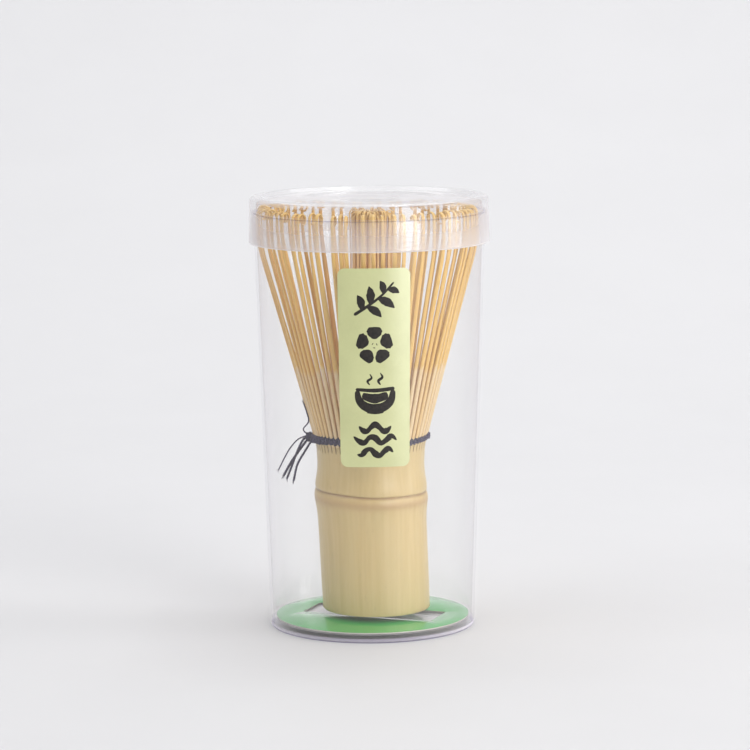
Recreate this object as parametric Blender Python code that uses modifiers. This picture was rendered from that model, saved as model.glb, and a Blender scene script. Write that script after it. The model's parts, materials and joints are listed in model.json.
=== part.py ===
"""Bamboo tea whisk standing in its clear case, with a slip-on lid, a base card and a front label.

Metres, +Z up. The origin is the centre of the case's foot, on the table. The label faces -Y.
The whisk is one length of bamboo. Its upper half is split into an outer crown of 64 tines, in
16 groups that flex at their roots, and an inner crown drawn together in the middle. A dark thread
is tied round the roots of the outer crown.
"""

import math

import bmesh
import bpy
from mathutils import Matrix, Vector

MM = 0.001
GAP = 0.3 * MM                     # clearance between pieces that rest on or pass each other
MERGE = 0.00001                    # merge distance for vertices on a turning axis

# Case: a tapered cup that stands on a foot ring
ROUND_STEPS = 64
CASE_HEIGHT = 115.2 * MM
CASE_BASE_R = 28.4 * MM            # outer radius at the foot
CASE_RIM_R = 32.0 * MM             # outer radius at the rim
CASE_WALL = 1.0 * MM
FLOOR_TOP = 2.1 * MM
FLOOR_UNDER = 1.2 * MM
FOOT_INNER_R = 25.6 * MM
FOOT_FILLET = 0.9 * MM
RIM_ROUND = 0.25 * MM

# Lid: a cap that slips over the rim, with a raised edge round a sunk panel
LID_BOTTOM = 106.9 * MM
LID_TOP = 119.7 * MM
LID_SKIRT_R = 33.2 * MM            # outer radius at the skirt's lower edge
LID_CROWN_R = 32.95 * MM           # outer radius just under the crown
LID_WALL = 0.75 * MM
LID_PANEL_DROP = 1.0 * MM          # how far the panel lies below the raised edge
LID_PANEL = 1.0 * MM               # panel thickness
LID_EDGE_INNER_R = 29.8 * MM
LID_EDGE_ROUND = 0.9 * MM
LID_STOP_R = 31.0 * MM             # inner radius of the stop that lands on the rim

# Base card: a disc with one long slot
CARD_R = 26.8 * MM
CARD_THICK = 0.5 * MM
CARD_Z = FLOOR_TOP + GAP
SLOT_LENGTH = 38.0 * MM
SLOT_WIDTH = 12.6 * MM
SLOT_CENTRE = (0.5 * MM, 0.7 * MM)
SLOT_TURN = math.radians(-21.4)

# Front label, stuck to the outside of the case
LABEL_WIDTH = 20.0 * MM
LABEL_BOTTOM = 48.9 * MM
LABEL_TOP = 102.7 * MM
LABEL_THICK = 0.15 * MM
LABEL_LIFT = 0.15 * MM             # keeps the flat facets of label and case apart
LABEL_CORNER = 2.0 * MM
LABEL_TURN = math.radians(-87.8)

# Whisk: axis, handle and node
WHISK_X = -0.1 * MM                # the whisk stands a little off the case's axis
CANE_STEPS = 48
CANE_BOTTOM = 4.4 * MM
CANE_TOP = 47.2 * MM
CANE_BORE_R = 11.2 * MM
CANE_CROOK = 1.25 * MM             # sideways drift of the cane below its node
NODE_Z = 36.0 * MM
NODE_HALF = 1.6 * MM               # half thickness of the wall across the cane at the node

# Outer crown
GROUPS = 16
TINES_PER_GROUP = 4
TINE_PITCH = 2 * math.pi / (GROUPS * TINES_PER_GROUP)
HINGE_R = 14.4 * MM
HINGE_Z = 50.0 * MM
FLARE_START = (15.3 * MM, 51.2 * MM)
FLARE_END = (29.1 * MM, 101.2 * MM)
UPRIGHT_Z = 110.0 * MM             # where the flare has turned upright
CURL_START_Z = 114.5 * MM
CURL_R = 1.9 * MM

# Inner crown
INNER_TINES = 32
INNER_ROOT_R = 12.3 * MM
INNER_WAIST_R = 6.0 * MM

# Thread
THREAD_R = 16.4 * MM
THREAD_Z = 52.8 * MM
THREAD_HALF_WIDTH = 0.42 * MM
THREAD_HALF_HEIGHT = 0.9 * MM
STRAND_R = 0.25 * MM
KNOT_R = 0.8 * MM
KNOT_X = -(THREAD_R + THREAD_HALF_WIDTH + GAP + KNOT_R)


def clear_scene():
    for old in list(bpy.data.objects):
        bpy.data.objects.remove(old, do_unlink=True)


def new_collection(name):
    collection = bpy.data.collections.new(name)
    bpy.context.scene.collection.children.link(collection)
    return collection


def new_material(name, colour, roughness, transmission=0.0):
    material = bpy.data.materials.new(name)
    material.use_nodes = True
    shader = material.node_tree.nodes["Principled BSDF"]
    shader.inputs["Base Color"].default_value = (*colour, 1.0)
    shader.inputs["Roughness"].default_value = roughness
    shader.inputs["Metallic"].default_value = 0.0
    shader.inputs["Transmission Weight"].default_value = transmission
    return material


def new_object(name, mesh, material, location=(0, 0, 0), parent=None):
    obj = bpy.data.objects.new(name, mesh)
    PARTS.objects.link(obj)
    obj.location = location
    obj.parent = parent
    if mesh.materials.get(material.name) is None:
        mesh.materials.append(material)
    return obj


def new_empty(name, location):
    empty = bpy.data.objects.new(name, None)
    PARTS.objects.link(empty)
    empty.location = location
    return empty


def case_radius(z):
    """Outer radius of the cup at height z."""
    return CASE_BASE_R + (CASE_RIM_R - CASE_BASE_R) * z / CASE_HEIGHT


def arc(centre, radius, start_deg, end_deg, steps):
    """Points (r, z) on an arc, with angles counted from +r towards +z."""
    points = []
    for step in range(steps + 1):
        angle = math.radians(start_deg + (end_deg - start_deg) * step / steps)
        points.append((centre[0] + radius * math.cos(angle), centre[1] + radius * math.sin(angle)))
    return points


def turned(name, profile, steps, material, location=(0, 0, 0), parent=None):
    """A solid turned round Z from a profile of (r, z) points that runs down its outer side."""
    mesh = bpy.data.meshes.new(name)
    points = [(r, 0.0, z) for r, z in profile]
    mesh.from_pydata(points, [(i, i + 1) for i in range(len(points) - 1)], [])
    obj = new_object(name, mesh, material, location, parent)
    screw = obj.modifiers.new("turn", "SCREW")
    screw.axis = "Z"
    screw.steps = steps
    screw.render_steps = steps
    screw.use_merge_vertices = True
    screw.merge_threshold = MERGE
    screw.use_smooth_shade = True
    return obj


def make_case_body(material):
    inner_fillet = FOOT_FILLET / 2
    inner_r = case_radius(FLOOR_TOP) - CASE_WALL
    rim_centre_z = CASE_HEIGHT - RIM_ROUND
    profile = [(0.0, FLOOR_TOP)]
    profile += arc((inner_r - inner_fillet, FLOOR_TOP + inner_fillet), inner_fillet, -90, 0, 2)
    profile += arc((CASE_RIM_R - CASE_WALL + RIM_ROUND, rim_centre_z), RIM_ROUND, 180, 90, 1)
    profile += arc((CASE_RIM_R - RIM_ROUND, rim_centre_z), RIM_ROUND, 90, 0, 1)
    profile += arc((case_radius(FOOT_FILLET) - FOOT_FILLET, FOOT_FILLET), FOOT_FILLET, 0, -90, 3)
    profile += [(FOOT_INNER_R, 0.0), (FOOT_INNER_R - FLOOR_UNDER / 2, FLOOR_UNDER), (0.0, FLOOR_UNDER)]
    return turned("case_body", profile, ROUND_STEPS, material)


def make_case_lid(material):
    """Profile heights are counted from the skirt's lower edge, where the lid's origin is."""
    height = LID_TOP - LID_BOTTOM
    panel_top = height - LID_PANEL_DROP
    panel_under = panel_top - LID_PANEL
    stop_z = CASE_HEIGHT + GAP - LID_BOTTOM
    crown_z = height - LID_EDGE_ROUND
    profile = [(0.0, panel_top), (LID_EDGE_INNER_R, panel_top)]
    profile += [(LID_EDGE_INNER_R + LID_PANEL_DROP, height)]
    profile += arc((LID_CROWN_R - LID_EDGE_ROUND, crown_z), LID_EDGE_ROUND, 90, 0, 3)
    profile += [(LID_SKIRT_R, 0.0), (LID_SKIRT_R - LID_WALL, 0.0)]
    profile += [(LID_CROWN_R - LID_WALL + GAP / 3, stop_z), (LID_STOP_R, stop_z)]
    profile += [(LID_STOP_R, panel_under - LID_PANEL_DROP / 2)]
    profile += [(LID_STOP_R - LID_PANEL_DROP / 2, panel_under), (0.0, panel_under)]
    return turned("case_lid", profile, ROUND_STEPS, material, (0, 0, LID_BOTTOM))


def cylinder_mesh(name, radius, height, steps):
    mesh = bpy.data.meshes.new(name)
    bm = bmesh.new()
    bmesh.ops.create_cone(bm, cap_ends=True, segments=steps, radius1=radius, radius2=radius, depth=height)
    bm.to_mesh(mesh)
    bm.free()
    return mesh


def make_slot_cutter():
    mesh = bpy.data.meshes.new("slot_cutter")
    bm = bmesh.new()
    bmesh.ops.create_cube(bm, size=1.0)
    bmesh.ops.scale(bm, vec=(SLOT_LENGTH, SLOT_WIDTH, 4 * CARD_THICK), verts=bm.verts)
    bm.to_mesh(mesh)
    bm.free()
    cutter = bpy.data.objects.new("slot_cutter", mesh)
    CUTTERS.objects.link(cutter)
    cutter.location = (*SLOT_CENTRE, CARD_Z + CARD_THICK / 2)
    cutter.rotation_euler = (0, 0, SLOT_TURN)
    cutter.hide_render = True
    cutter.display_type = "WIRE"
    return cutter


def make_base_card(material):
    mesh = cylinder_mesh("base_card", CARD_R, CARD_THICK, ROUND_STEPS)
    card = new_object("base_card", mesh, material, (0, 0, CARD_Z + CARD_THICK / 2))
    slot = card.modifiers.new("slot", "BOOLEAN")
    slot.operation = "DIFFERENCE"
    slot.solver = "EXACT"
    slot.object = make_slot_cutter()
    return card


def make_label(material):
    """A flat sheet with rounded corners, wrapped round the tapered wall and given its thickness."""
    mesh = bpy.data.meshes.new("label")
    bm = bmesh.new()
    height = LABEL_TOP - LABEL_BOTTOM
    bmesh.ops.create_grid(bm, x_segments=8, y_segments=4, size=0.5)
    bmesh.ops.scale(bm, vec=(LABEL_WIDTH, height, 1), verts=bm.verts)
    corners = [v for v in bm.verts if len(v.link_edges) == 2]
    bmesh.ops.bevel(bm, geom=corners, offset=LABEL_CORNER, segments=3, profile=0.5, affect="VERTICES")
    for vert in bm.verts:
        z = LABEL_BOTTOM + height / 2 + vert.co.y
        radius = case_radius(z) + LABEL_LIFT
        turn = LABEL_TURN + vert.co.x / CASE_RIM_R
        vert.co = Vector((radius * math.cos(turn), radius * math.sin(turn), z))
    bm.normal_update()
    bm.to_mesh(mesh)
    bm.free()
    label = new_object("label", mesh, material)
    thickness = label.modifiers.new("thickness", "SOLIDIFY")
    thickness.thickness = LABEL_THICK
    thickness.offset = 1.0
    return label


def cane_outline():
    """Outer side of the handle, from its top edge down to its foot."""
    return [
        (14.90 * MM, CANE_TOP),
        (14.80 * MM, 45.0 * MM),
        (14.95 * MM, 42.5 * MM),
        (15.40 * MM, 39.6 * MM),
        (15.40 * MM, 38.6 * MM),
        (15.15 * MM, 38.0 * MM),
        (15.50 * MM, 37.2 * MM),
        (15.75 * MM, 35.8 * MM),
        (15.50 * MM, 34.2 * MM),
        (15.15 * MM, 31.5 * MM),
        (15.00 * MM, 27.0 * MM),
        (14.95 * MM, 12.0 * MM),
        (14.85 * MM, CANE_BOTTOM + GAP),
        (14.85 * MM - GAP, CANE_BOTTOM),
    ]


def make_handle(material, parent):
    """The cane below the tines: open at both ends, with the node's wall across it."""
    profile = [(0.0, NODE_Z + NODE_HALF), (CANE_BORE_R, NODE_Z + NODE_HALF), (CANE_BORE_R, CANE_TOP)]
    profile += cane_outline()
    profile += [(CANE_BORE_R, CANE_BOTTOM), (CANE_BORE_R, NODE_Z - NODE_HALF)]
    profile += [(0.0, NODE_Z - NODE_HALF)]
    pattern = turned("handle_pattern", profile, CANE_STEPS, material, parent=parent)
    evaluated = pattern.evaluated_get(bpy.context.evaluated_depsgraph_get())
    mesh = bpy.data.meshes.new_from_object(evaluated)
    bpy.data.objects.remove(pattern, do_unlink=True)
    for vert in mesh.vertices:
        below_node = max(0.0, NODE_Z - vert.co.z) / (NODE_Z - CANE_BOTTOM)
        vert.co.x += CANE_CROOK * below_node
    mesh.name = "handle"
    return new_object("handle", mesh, material, parent=parent)


def straight_comb(tines, levels, closed):
    """A comb in its own units: X counts tines and kerfs in turn, Y is thickness, Z is level.

    The bar of the comb runs from Z = -1 to Z = 0, and each tine is extruded from it level by level.
    """
    columns = 2 * tines if closed else 2 * tines - 1
    bm = bmesh.new()
    bmesh.ops.create_cube(bm, size=1.0)
    bmesh.ops.scale(bm, vec=(columns, 1, 1), verts=bm.verts)
    bmesh.ops.translate(bm, vec=(columns / 2, 0.5, -0.5), verts=bm.verts)
    for column in range(1, columns):
        everything = bm.verts[:] + bm.edges[:] + bm.faces[:]
        bmesh.ops.bisect_plane(bm, geom=everything, plane_co=(column, 0, 0), plane_no=(1, 0, 0))
    bm.normal_update()
    if closed:
        ends = [face for face in bm.faces if abs(face.normal.x) > 0.5]
        bmesh.ops.delete(bm, geom=ends, context="FACES")
    tops = [
        face for face in bm.faces
        if face.normal.z > 0.5 and int(face.calc_center_median().x) % 2 == 0
    ]
    for level in range(1, levels + 1):
        tops = bmesh.ops.extrude_discrete_faces(bm, faces=tops)["faces"]
        for face in tops:
            for vert in face.verts:
                vert.co.z = level
    return bm


def bend_comb(bm, stations, first_turn, pitch, tines, origin):
    """Moves each point of a comb to its tine's place.

    A station is (r, z, lean, thickness, width) of the tine's outer side. The first is the bar's foot.
    """
    for vert in bm.verts:
        column = round(vert.co.x)
        tine = (column // 2) % tines
        side = 1 if column % 2 else -1
        r, z, lean, thickness, width = stations[round(vert.co.z) + 1]
        depth = thickness * vert.co.y
        turn = first_turn + tine * pitch
        outward = Vector((math.cos(turn), math.sin(turn), 0.0))
        along = Vector((-math.sin(turn), math.cos(turn), 0.0))
        place = outward * (r - depth * math.cos(lean)) + Vector((0, 0, z + depth * math.sin(lean)))
        vert.co = place + along * (side * width / 2) - Vector(origin)


def outer_stations():
    """The outer side of one outer tine: root, straight flare, upright stretch and inward curl."""
    run = (FLARE_END[0] - FLARE_START[0], FLARE_END[1] - FLARE_START[1])
    lean = math.atan2(run[0], run[1])
    bend_r = (UPRIGHT_Z - FLARE_END[1]) / math.sin(lean)
    upright_r = FLARE_END[0] + bend_r * (1 - math.cos(lean))
    half_way_r = upright_r - bend_r * (1 - math.cos(lean / 2))
    half_way_z = UPRIGHT_Z - bend_r * math.sin(lean / 2)
    stations = [
        (14.90 * MM, CANE_TOP + GAP, 0.0, 1.10 * MM, 1.05 * MM),
        (14.95 * MM, 49.5 * MM, lean / 3, 1.05 * MM, 1.05 * MM),
        (FLARE_START[0], FLARE_START[1], lean, 0.95 * MM, 1.08 * MM),
        (FLARE_END[0], FLARE_END[1], lean, 0.60 * MM, 1.15 * MM),
        (half_way_r, half_way_z, lean / 2, 0.50 * MM, 1.08 * MM),
        (upright_r, UPRIGHT_Z, 0.0, 0.45 * MM, 1.00 * MM),
    ]
    for turn_deg in (50, 110, 180):
        turn = math.radians(turn_deg)
        r = upright_r - CURL_R * (1 - math.cos(turn))
        z = CURL_START_Z + CURL_R * math.sin(turn)
        stations.append((r, z, -turn, 0.40 * MM, 0.85 * MM))
    return stations


def inner_stations():
    """The outer side of one inner tine: it leans in from the root and stands up in the middle."""
    return [
        (INNER_ROOT_R + 0.4 * MM, CANE_TOP + GAP, 0.0, 0.90 * MM, 1.40 * MM),
        (INNER_ROOT_R + 0.4 * MM, 49.5 * MM, 0.0, 0.90 * MM, 1.40 * MM),
        (INNER_ROOT_R - 0.6 * MM, 58.0 * MM, -0.15, 0.70 * MM, 1.20 * MM),
        (INNER_WAIST_R + 1.4 * MM, 80.0 * MM, -0.14, 0.50 * MM, 0.85 * MM),
        (INNER_WAIST_R + 0.3 * MM, 98.0 * MM, 0.0, 0.45 * MM, 0.75 * MM),
        (INNER_WAIST_R + 0.5 * MM, 113.5 * MM, 0.0, 0.40 * MM, 0.70 * MM),
    ]


def make_tine_groups(material, parent):
    """Sixteen alike groups on one mesh. Each stands with its origin on its own flex axis."""
    stations = outer_stations()
    bm = straight_comb(TINES_PER_GROUP, len(stations) - 2, closed=False)
    first_turn = -TINE_PITCH * (TINES_PER_GROUP - 1) / 2
    bend_comb(bm, stations, first_turn, TINE_PITCH, TINES_PER_GROUP, (HINGE_R, 0, HINGE_Z))
    mesh = bpy.data.meshes.new("tine_group")
    bm.to_mesh(mesh)
    bm.free()
    for index in range(GROUPS):
        turn = 2 * math.pi * index / GROUPS
        place = (HINGE_R * math.cos(turn), HINGE_R * math.sin(turn), HINGE_Z)
        group = new_object(f"outer_tines_{index + 1:02d}", mesh, material, place, parent)
        group.rotation_euler = (0, 0, turn)


def make_inner_tines(material, parent):
    stations = inner_stations()
    bm = straight_comb(INNER_TINES, len(stations) - 2, closed=True)
    pitch = 2 * math.pi / INNER_TINES
    bend_comb(bm, stations, 0.0, pitch, INNER_TINES, (0, 0, 0))
    bmesh.ops.remove_doubles(bm, verts=bm.verts, dist=MERGE)
    mesh = bpy.data.meshes.new("inner_tines")
    bm.to_mesh(mesh)
    bm.free()
    return new_object("inner_tines", mesh, material, parent=parent)


def make_binding_thread(material, parent):
    bpy.ops.mesh.primitive_torus_add(
        major_radius=THREAD_R, minor_radius=THREAD_HALF_WIDTH, major_segments=48, minor_segments=8
    )
    ring = bpy.context.object
    for collection in list(ring.users_collection):
        collection.objects.unlink(ring)
    PARTS.objects.link(ring)
    ring.name = "binding_thread"
    ring.data.materials.append(material)
    ring.data.transform(Matrix.Diagonal((1, 1, THREAD_HALF_HEIGHT / THREAD_HALF_WIDTH, 1)))
    ring.data.shade_smooth()
    ring.location = (0, 0, THREAD_Z)
    ring.parent = parent
    return ring


def make_thread_knot(material, parent):
    mesh = bpy.data.meshes.new("thread_knot")
    bm = bmesh.new()
    bmesh.ops.create_uvsphere(bm, u_segments=12, v_segments=8, radius=KNOT_R)
    bmesh.ops.scale(bm, vec=(1.0, 1.2, 1.3), verts=bm.verts)
    bm.to_mesh(mesh)
    bm.free()
    mesh.shade_smooth()
    return new_object("thread_knot", mesh, material, (KNOT_X, 0, THREAD_Z), parent)


def make_strand(name, start, middle, end, material, parent):
    """A loose end of the thread, along a smooth curve pulled towards its middle point."""
    steps = 6
    curve = bpy.data.curves.new(name, "CURVE")
    curve.dimensions = "3D"
    curve.bevel_depth = STRAND_R
    curve.bevel_resolution = 2
    curve.use_fill_caps = True
    spline = curve.splines.new("POLY")
    spline.points.add(steps)
    ends = [Vector(point) * MM for point in (start, middle, end)]
    for step, point in enumerate(spline.points):
        t = step / steps
        place = ends[0] * (1 - t) ** 2 + ends[1] * 2 * t * (1 - t) + ends[2] * t ** 2
        point.co = (*place, 1.0)
    strand = bpy.data.objects.new(name, curve)
    PARTS.objects.link(strand)
    curve.materials.append(material)
    strand.parent = parent
    return strand


def make_strands(material, parent):
    """Four ends hang down to the left of the knot, and one stands up beside the tines."""
    routes = [
        ((-18.5, -0.9, 51.2), (-21.6, -2.2, 50.7), (-25.5, -3.2, 43.9)),
        ((-18.6, 0.1, 51.1), (-20.6, -0.4, 47.2), (-24.3, -1.2, 41.6)),
        ((-17.9, -1.8, 51.2), (-19.8, -3.6, 47.4), (-21.4, -4.4, 40.9)),
        ((-17.6, 1.0, 51.1), (-20.2, 1.2, 46.6), (-23.3, 1.4, 41.0)),
        ((-18.6, -0.4, 54.5), (-19.2, -2.4, 57.2), (-18.4, -5.2, 62.6)),
    ]
    for index, (start, middle, end) in enumerate(routes):
        make_strand(f"thread_end_{index + 1}", start, middle, end, material, parent)


def build():
    bamboo = new_material("bamboo", (0.72, 0.56, 0.32), 0.45)
    tine_bamboo = new_material("tine_bamboo", (0.66, 0.42, 0.18), 0.50)
    clear_plastic = new_material("clear_plastic", (0.95, 0.95, 0.97), 0.08, transmission=0.9)
    frosted_plastic = new_material("frosted_plastic", (0.90, 0.89, 0.90), 0.30, transmission=0.8)
    green_card = new_material("green_card", (0.08, 0.38, 0.12), 0.35)
    label_paper = new_material("label_paper", (0.72, 0.80, 0.38), 0.55)
    dark_thread = new_material("dark_thread", (0.03, 0.03, 0.06), 0.80)
    make_case_body(clear_plastic)
    make_case_lid(frosted_plastic)
    make_base_card(green_card)
    make_label(label_paper)
    whisk = new_empty("whisk_axis", (WHISK_X, 0, 0))
    make_handle(bamboo, whisk)
    make_tine_groups(tine_bamboo, whisk)
    make_inner_tines(tine_bamboo, whisk)
    make_binding_thread(dark_thread, whisk)
    make_thread_knot(dark_thread, whisk)
    make_strands(dark_thread, whisk)
    bpy.context.view_layer.update()


clear_scene()
PARTS = new_collection("Bamboo tea whisk in its case")
CUTTERS = new_collection("Cutters")
build()
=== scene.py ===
"""Looks of the bamboo tea whisk in its clear case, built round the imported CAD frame.

Lengths are in metres unless a name or a comment says otherwise, and places come from the
frame's boxes and joints.
"""

import json
import math

import bmesh
import bpy
import numpy as np
from mathutils import Matrix, Vector


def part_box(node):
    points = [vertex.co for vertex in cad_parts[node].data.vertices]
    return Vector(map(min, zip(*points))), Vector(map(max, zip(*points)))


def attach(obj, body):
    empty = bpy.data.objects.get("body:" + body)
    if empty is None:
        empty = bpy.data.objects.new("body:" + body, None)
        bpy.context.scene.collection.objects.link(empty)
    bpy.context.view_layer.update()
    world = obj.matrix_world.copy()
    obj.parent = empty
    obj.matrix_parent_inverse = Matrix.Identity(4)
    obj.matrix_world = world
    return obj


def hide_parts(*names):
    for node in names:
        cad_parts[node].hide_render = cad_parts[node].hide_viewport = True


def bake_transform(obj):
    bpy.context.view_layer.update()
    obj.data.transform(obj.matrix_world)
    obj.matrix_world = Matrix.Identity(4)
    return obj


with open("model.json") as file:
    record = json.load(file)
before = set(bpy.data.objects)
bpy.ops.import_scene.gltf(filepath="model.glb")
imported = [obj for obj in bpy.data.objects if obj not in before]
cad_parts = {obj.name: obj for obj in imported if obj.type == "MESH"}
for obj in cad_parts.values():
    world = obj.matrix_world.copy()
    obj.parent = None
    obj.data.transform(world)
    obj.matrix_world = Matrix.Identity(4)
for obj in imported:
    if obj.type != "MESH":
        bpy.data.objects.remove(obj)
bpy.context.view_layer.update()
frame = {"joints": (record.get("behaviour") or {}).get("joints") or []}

MM = 0.001
TAU = 2 * math.pi
RNG = np.random.default_rng(1580)

# Places read from the frame
CASE_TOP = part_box("case_body")[1].z
CASE_RIM_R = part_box("case_body")[1].x
LID_LOW, LID_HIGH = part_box("case_lid")
CARD_LOW, CARD_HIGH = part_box("base_card")
LABEL_LOW, LABEL_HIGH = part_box("label")
HANDLE_FOOT_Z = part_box("handle")[0].z
INNER_LOW, INNER_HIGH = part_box("inner_tines")
THREAD_LOW, THREAD_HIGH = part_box("binding_thread")
KNOT_LOW, KNOT_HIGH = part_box("thread_knot")
WHISK_AXIS = Vector(((INNER_LOW.x + INNER_HIGH.x) / 2, (INNER_LOW.y + INNER_HIGH.y) / 2, 0))
FLEX_JOINTS = [joint for joint in frame["joints"] if joint["name"].endswith("_flex")]

# Cup
CASE_FOOT_R = 28.4 * MM
CASE_WALL = 0.8 * MM
FLOOR_TOP = 2.1 * MM
FLOOR_UNDER = 1.2 * MM
FOOT_INNER_R = 25.6 * MM
FOOT_FILLET = 0.9 * MM
ROUND_STEPS = 240

# Card
SLOT_SIZE = (38.0 * MM, 12.6 * MM)
SLOT_MIDDLE = (0.5 * MM, 0.7 * MM, 0)
SLOT_TURN = math.radians(-21.4)

# Label
LABEL_TURN = math.radians(-87.8)
LABEL_LIFT = 0.03 * MM
LABEL_THICK = 0.10 * MM
LABEL_HALF = 10.0 * MM
LABEL_CORNER = 2.0 * MM

# Crown
TINES_PER_GROUP = 4
TINE_COUNT = len(FLEX_JOINTS) * TINES_PER_GROUP
TINE_PITCH = TAU / TINE_COUNT
TINE_ROOT_Z = 51.4 * MM
TINE_ROOT_R = 14.85 * MM
FLARE_LEAN = math.atan2(13.8, 50.0)
FLARE_RUN = 53.6 * MM
BEND_RUN = 6.5 * MM
UPRIGHT_RUN = 5.3 * MM
TINE_ROWS = 64
CROWN_LEAN = -0.5 * MM

# Handle
COLUMNS_PER_TINE = 10
CANE_COLUMNS = TINE_COUNT * COLUMNS_PER_TINE
BORE_R = 11.2 * MM
NODE_WALL = (34.4 * MM, 37.6 * MM)
GROOVE_Z = 38.0 * MM
RIDGE_Z = 35.6 * MM
SKIN_TOP_Z = 52.4 * MM
CROOK = 1.25 * MM

# Table, lamps and camera, in metres and degrees
SWEEP_START = 0.30
SWEEP_R = 0.9
STRIP_DISTANCE = 1.05
STRIP_CLEARANCE = 0.015
CAMERA_PLACE = (1.25 * MM, -0.888, 0.194)
CAMERA_DIP_DEG = 7.97
CAMERA_ROLL_DEG = -0.5
LENS = 155.5

# Thread
THREAD_Z = (THREAD_LOW.z + THREAD_HIGH.z) / 2
THREAD_R = (THREAD_HIGH.x - THREAD_LOW.x) / 2 - 0.82 * MM


# ---- meshes

def srgb(red, green, blue):
    """Scene-linear colour of an 8-bit display colour."""
    shares = [channel / 255 for channel in (red, green, blue)]
    return tuple(s / 12.92 if s <= 0.04045 else ((s + 0.055) / 1.055) ** 2.4 for s in shares)


def store(mesh, name, values, kind="FLOAT"):
    """Writes one value a vertex, for a material to read."""
    attribute = mesh.attributes.new(name, kind, "POINT")
    field = "vector" if kind == "FLOAT_VECTOR" else "value"
    attribute.data.foreach_set(field, np.asarray(values, np.float32).ravel())


def grid_faces(rows, cols, first=0, wrap=False, flip=False):
    """Quads over a grid of points; wrap joins its last column to its first."""
    index = first + np.arange(rows * cols).reshape(rows, cols)
    if wrap:
        index = np.hstack([index, index[:, :1]])
    corners = [index[:-1, :-1], index[:-1, 1:], index[1:, 1:], index[1:, :-1]]
    if flip:
        corners.reverse()
    return np.stack(corners, -1).reshape(-1, 4).tolist()


def weld(mesh):
    """Merges points that lie on one place, such as a turned mesh's poles."""
    bm = bmesh.new()
    bm.from_mesh(mesh)
    bmesh.ops.remove_doubles(bm, verts=bm.verts, dist=1e-7)
    bm.to_mesh(mesh)
    bm.free()


def smooth_mesh(name, points, faces, sharp_deg=42, welded=False):
    mesh = bpy.data.meshes.new(name)
    mesh.from_pydata(np.asarray(points).reshape(-1, 3).tolist(), [], faces)
    if welded:
        weld(mesh)
    mesh.shade_smooth()
    mesh.set_sharp_from_angle(angle=math.radians(sharp_deg))
    return mesh


def new_object(name, data):
    obj = bpy.data.objects.new(name, data)
    bpy.context.scene.collection.objects.link(obj)
    return obj


def place(name, mesh, material, slot, nodes=(), body=None):
    """Puts a piece in the scene with its finish, and hides the CAD nodes that it stands for."""
    obj = new_object(name, mesh)
    mesh.materials.append(material)
    if nodes:
        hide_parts(*nodes)
    if body:
        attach(obj, body)
    return obj


def arc(centre, radius, start_deg, end_deg, steps):
    """Profile points (r, z), with angles counted from +r towards +z."""
    turns = np.radians(np.linspace(start_deg, end_deg, steps + 1))
    return [(centre[0] + radius * math.cos(t), centre[1] + radius * math.sin(t)) for t in turns]


def lathe(name, profile, steps):
    """A closed turned mesh from a profile that starts and ends on the axis, outer side downwards."""
    profile = np.array(profile)
    turns = np.linspace(0, TAU, steps, endpoint=False)
    radius = np.repeat(profile[:, :1], steps, 1)
    height = np.repeat(profile[:, 1:], steps, 1)
    points = np.stack([radius * np.cos(turns), radius * np.sin(turns), height], -1)
    faces = grid_faces(len(profile), steps, wrap=True, flip=True)
    return smooth_mesh(name, points, faces, 35, welded=True)


def lengths_along(path):
    """Distance along a path to each of its points."""
    return np.r_[0, np.cumsum(np.linalg.norm(np.diff(path, axis=0), axis=1))]


def unit_tangents(path):
    tangents = np.gradient(path, axis=0)
    return tangents / np.linalg.norm(tangents, axis=1, keepdims=True)


def smooth_line(knots, count):
    """A Catmull-Rom line through the knots, sampled evenly along its length."""
    knots = np.array(knots, float)
    padded = np.vstack([2 * knots[0] - knots[1], knots, 2 * knots[-1] - knots[-2]])
    fine = []
    for i in range(len(knots) - 1):
        a, b, c, d = padded[i:i + 4]
        for t in np.linspace(0, 1, 24, endpoint=False):
            fine.append(0.5 * (2 * b + (c - a) * t + (2 * a - 5 * b + 4 * c - d) * t ** 2
                               + (3 * b - a - 3 * c + d) * t ** 3))
    fine.append(knots[-1])
    fine = np.array(fine)
    steps = lengths_along(fine)
    wanted = np.linspace(0, steps[-1], count)
    return np.stack([np.interp(wanted, steps, fine[:, k]) for k in range(fine.shape[1])], -1)


def moving_normals(path):
    """Unit normals and binormals along a path, turning as little as they can."""
    tangents = unit_tangents(path)
    seed = np.array([0.0, 0.0, 1.0]) if abs(tangents[0, 2]) < 0.9 else np.array([1.0, 0.0, 0.0])
    normal = seed - tangents[0] * (seed @ tangents[0])
    normals = []
    for tangent in tangents:
        normal = normal - tangent * (normal @ tangent)
        normal = normal / np.linalg.norm(normal)
        normals.append(normal)
    normals = np.array(normals)
    return normals, np.cross(tangents, normals)


def add_cord(bundle, path, radius, sides, nook=0.0):
    """Sweeps a round cord along a path, with the values that the thread's material reads."""
    normals, binormals = moving_normals(path)
    turns = np.linspace(0, TAU, sides, endpoint=False)
    cos, sin = np.cos(turns)[None, :, None], np.sin(turns)[None, :, None]
    points = path[:, None] + (normals[:, None] * cos + binormals[:, None] * sin) * radius
    along = lengths_along(path)[:, None] / MM
    bundle.add(points, along=along, around=turns[None], nook=nook)


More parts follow.
